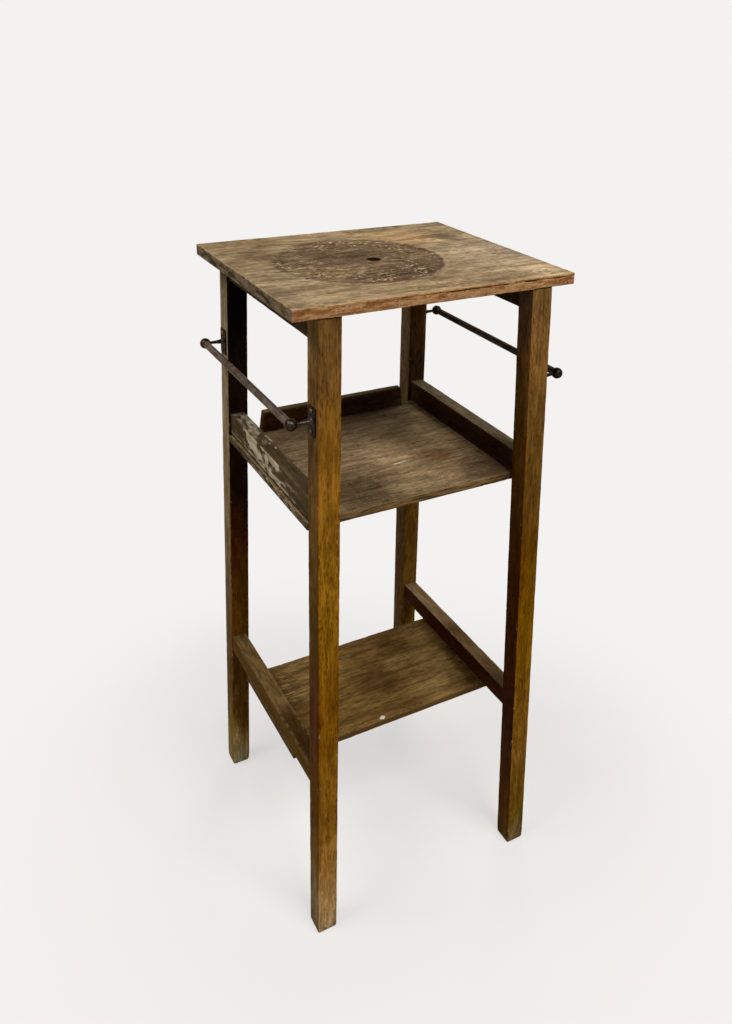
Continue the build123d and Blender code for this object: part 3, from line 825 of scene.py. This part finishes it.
# each bar's face that looks into the stand has a darker tone than its outer face: painted shade
BAR_FACES = {
    "apron_left": (srgb(126, 102, 74), srgb(88, 64, 34), BROWN, srgb(90, 66, 38)),
    "apron_right": (srgb(84, 62, 34), srgb(126, 102, 74), BROWN, srgb(90, 66, 38)),
    "tray_rail_left": (srgb(100, 82, 54), srgb(80, 56, 30), srgb(80, 65, 44), srgb(92, 68, 40)),
    "tray_rail_right": (srgb(78, 52, 27), srgb(122, 98, 66), srgb(146, 129, 102), srgb(96, 72, 44)),
    "stretcher_left": (srgb(112, 82, 32), srgb(96, 64, 26), srgb(66, 45, 18), srgb(100, 72, 34)),
    "stretcher_right": (srgb(90, 48, 16), srgb(132, 100, 48), srgb(106, 80, 50), srgb(100, 72, 34)),
}
BAR_MARKS = {"tray_rail_left": paint_smears, "stretcher_left": scuffed_middle, "stretcher_right": scuffed_ends}


# ---------------------------------------------------------------- metal

IRON_GLOSS, IRON_TINT = 0.02, (0.62, 0.54, 0.46, 1.0)      # dull, and brown where it does shine


def metal(name, dark, light, rough, metallic, seed, grain=None):
    """Old dark iron: cloudy browning, pinhead rust, and pale streaks along the grain, partly where it is handled and
    partly a painted highlight.
    """
    t = Tree(name)
    cloud = t.noise(t.vec("ADD", t.pos, (seed, 0.0, seed)), 60.0, 4.0, 0.6)
    colour = t.mix(t.span(cloud, 0.34, 0.66), dark, light)
    rust = t.span(t.noise(t.pos, 430.0, 3.0, 0.6), 0.56, 0.70)
    colour = t.lay(colour, srgb(64, 40, 24), rust, 0.55)
    if grain:
        # pale streaks along the bar: partly handling wear, partly a painted highlight
        rub_and_sheen = t.noise(t.stretched(grain, seed, 0.05), 300.0, 3.0, 0.6)
        handled_and_sheen = tuple(min(1.0, c * 1.7) for c in light[:3]) + (1.0,)
        colour = t.mix(t.span(rub_and_sheen, 0.50, 0.70, 0.0, 0.6), colour, handled_and_sheen)
    t.put(t.bsdf.inputs["Base Color"], colour)
    t.bsdf.inputs["Metallic"].default_value = metallic
    t.bsdf.inputs["Specular IOR Level"].default_value = IRON_GLOSS
    t.bsdf.inputs["Specular Tint"].default_value = IRON_TINT
    t.put(t.bsdf.inputs["Roughness"], t.span(t.add(cloud, t.mul(rust, 0.2)), 0.3, 0.8, rough - 0.08, rough + 0.18))
    t.put(t.bsdf.inputs["Normal"], t.bump(t.noise(t.pos, 350.0, 3.0, 0.6), 0.18, 0.0002))
    return t.mat


# the right bar and posts are darker copies of the left ones: painted shade
LEFT_BAR = metal("iron_bar_left", srgb(72, 62, 55), srgb(106, 94, 86), 0.46, 0.85, 0.3, grain="Y")
RIGHT_BAR = metal("iron_bar_right", srgb(30, 26, 24), srgb(56, 49, 45), 0.46, 0.85, 0.5, grain="Y")
LEFT_POST = metal("iron_post_left", srgb(32, 28, 24), srgb(62, 54, 45), 0.25, 0.9, 0.8)
RIGHT_POST = metal("iron_post_right", srgb(20, 17, 15), srgb(40, 35, 31), 0.28, 0.9, 0.9)
IRON_PLATE = metal("iron_plate", srgb(28, 20, 14), srgb(56, 42, 30), 0.46, 0.0, 1.1)
FIXINGS = metal("steel_fixings", srgb(52, 42, 32), srgb(124, 108, 86), 0.42, 0.85, 1.4)


# ---------------------------------------------------------------- hand the materials out

def paint_all(obj, mat):
    """Give an object one material and no other."""
    obj.data.materials.clear()
    obj.data.materials.append(mat)


for k, node in enumerate(LEGS):
    paint_all(pieces[node], leg_material(node, 20.0 + 3.3 * k))
for k, (node, faces) in enumerate(BAR_FACES.items()):
    paint_all(pieces[node], bar_material(node, faces, 40.0 + 2.7 * k, BAR_MARKS.get(node)))
for node, mat, slot in (("top_board", TOP, "oak_top"), ("tray_board", TRAY, "oak_tray"), ("tray_lip", LIP, "oak_tray"),
                        ("lower_shelf", SHELF, "oak_shelf")):
    paint_all(pieces[node], mat)

for node, obj in frame["nodes"].items():
    if node in pieces:
        continue
    if node.startswith("side_bar_"):
        paint_all(obj, LEFT_BAR if node == "side_bar_left" else RIGHT_BAR)
    elif node.startswith("bracket_screws_") or node.endswith("_nails"):
        paint_all(obj, FIXINGS)
    else:
        post = LEFT_POST if node.endswith("left") else RIGHT_POST
        paint_all(obj, post if node.startswith("bracket_post_") else IRON_PLATE)


# ---------------------------------------------------------------- stage, light and camera

BACKGROUND = srgb(244, 242, 240)
FILL_TONE, FILL_STRENGTH = (1.0, 0.98, 0.95, 1.0), 0.07      # what the surroundings add to the light


def seen_directly(nt):
    """1 for camera, glossy and transmission rays."""
    path = nt.nodes.new("ShaderNodeLightPath")
    seen = path.outputs["Is Camera Ray"]
    for ray in ("Is Glossy Ray", "Is Transmission Ray"):
        either = nt.nodes.new("ShaderNodeMath")
        either.operation = "MAXIMUM"
        nt.links.new(seen, either.inputs[0])
        nt.links.new(path.outputs[ray], either.inputs[1])
        seen = either.outputs[0]
    return seen


def blended(nt, fac, first, second):
    """Two shaders mixed: the first where fac is 0, the second where it is 1."""
    mix = nt.nodes.new("ShaderNodeMixShader")
    for socket, source in zip(mix.inputs, (fac, first, second)):
        nt.links.new(source, socket)
    return mix.outputs[0]


world = bpy.data.worlds.new("studio")
bpy.context.scene.world = world
world.use_nodes = True
nt = world.node_tree
nt.nodes.clear()
fill, plain = nt.nodes.new("ShaderNodeBackground"), nt.nodes.new("ShaderNodeBackground")
fill.inputs["Color"].default_value, fill.inputs["Strength"].default_value = FILL_TONE, FILL_STRENGTH
plain.inputs["Color"].default_value = BACKGROUND
sky = blended(nt, seen_directly(nt), fill.outputs[0], plain.outputs[0])
nt.links.new(sky, nt.nodes.new("ShaderNodeOutputWorld").inputs[0])


def floor_material():
    """Pale and lit near the stand, so that it keeps the shadow, and plain background further out."""
    t = Tree("floor")
    nt = t.nt
    t.bsdf.inputs["Base Color"].default_value = BACKGROUND
    t.bsdf.inputs["Roughness"].default_value = 0.9
    t.bsdf.inputs["Specular IOR Level"].default_value = 0.0
    dull = nt.nodes.new("ShaderNodeBsdfDiffuse")      # what the stand's undersides see
    dull.inputs["Color"].default_value = srgb(120, 116, 110)
    plain = nt.nodes.new("ShaderNodeEmission")
    plain.inputs["Color"].default_value = BACKGROUND
    far = t.span(t.vec("LENGTH", t.pos), 0.30, 0.80, 0.66, 1.0)
    seen = blended(nt, far, t.bsdf.outputs[0], plain.outputs[0])
    nt.links.new(blended(nt, seen_directly(nt), dull.outputs[0], seen), t.out.inputs[0])
    return t.mat


FLOOR_SIZE = 30
bpy.ops.mesh.primitive_plane_add(size=FLOOR_SIZE, location=(0, 0, 0))
floor = bpy.context.object
floor.name = "floor"
floor.data.materials.append(floor_material())


STAND_MIDDLE = Vector((0, 0, 0.6))


def softbox(name, at, size, power, colour):
    """A rectangular area light that looks at the stand's middle."""
    data = bpy.data.lights.new(name, "AREA")
    data.shape, data.size, data.size_y = "RECTANGLE", size[0], size[1]
    data.energy, data.color = power, colour
    obj = link(name, data)
    obj.location = at
    obj.rotation_euler = (STAND_MIDDLE - Vector(at)).to_track_quat("-Z", "Y").to_euler()


softbox("key", (0.55, -3.05, 4.9), (2.4, 1.8), 175, (1.0, 0.98, 0.95))
softbox("overhead_left", (-2.2, 0.1, 4.3), (1.8, 1.8), 80, (1.0, 0.98, 0.96))
softbox("back_right", (2.2, 2.9, 3.2), (1.8, 1.8), 30, (1.0, 0.98, 0.96))

# the camera: place in metres, angles in radians, focal length in mm on a 36 mm sensor, shift in frame heights
EYE = Vector((-0.63269, -1.18407, 1.37623))
YAW, PITCH, ROLL = 0.51787, -0.353723, 0.027587
SENSOR, FOCAL, SHIFT = 36.0, 32.24285, (-0.0325781, -0.1503906)

forward = Vector((math.sin(YAW) * math.cos(PITCH), math.cos(YAW) * math.cos(PITCH), math.sin(PITCH)))
right = Vector((math.cos(YAW), -math.sin(YAW), 0))
up = right.cross(forward)
right, up = right * math.cos(ROLL) + up * math.sin(ROLL), up * math.cos(ROLL) - right * math.sin(ROLL)
lens = bpy.data.cameras.new("camera")
lens.sensor_width, lens.lens = SENSOR, FOCAL
lens.shift_x, lens.shift_y = SHIFT
camera = link("camera", lens)
camera.matrix_world = Matrix.Translation(EYE) @ Matrix((right, up, -forward)).transposed().to_4x4()
bpy.context.scene.camera = camera
bpy.context.scene.view_settings.view_transform = "Standard"
